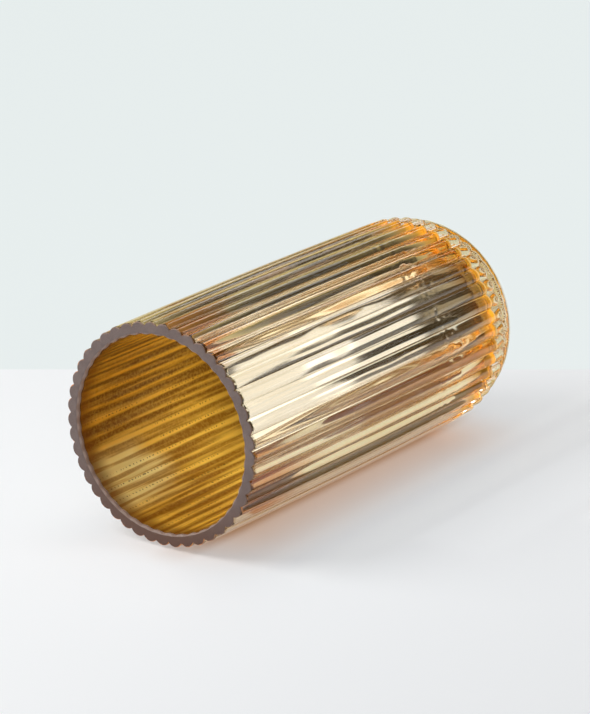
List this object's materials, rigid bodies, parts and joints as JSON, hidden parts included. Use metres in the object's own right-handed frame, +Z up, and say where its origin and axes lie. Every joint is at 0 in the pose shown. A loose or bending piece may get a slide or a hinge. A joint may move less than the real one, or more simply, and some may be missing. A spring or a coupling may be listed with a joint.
{
  "type": "reeded cylinder vase",
  "caption": "Tall reeded cylinder vase of thick clear glass with a gold lustre lining, a heavy rounded base and a ground flat lip.",
  "frame": {"origin": "centre of the underside, on the plane that the vase rests on", "axes": "+Z up along the vase's axis to the mouth; +X through the crest of one reed"},
  "size_m": [0.1179, 0.118, 0.254],
  "materials": {
    "clear_base": "fire-polished",
    "clear_wall": "fire-polished",
    "ground_lip": "ground matte",
    "lustre": "gold lustre"
  },
  "bodies": {
    "root": {"base": "clear_base", "wall": "clear_wall", "lip": "ground_lip", "lining": "lustre"}
  },
  "joints": []
}
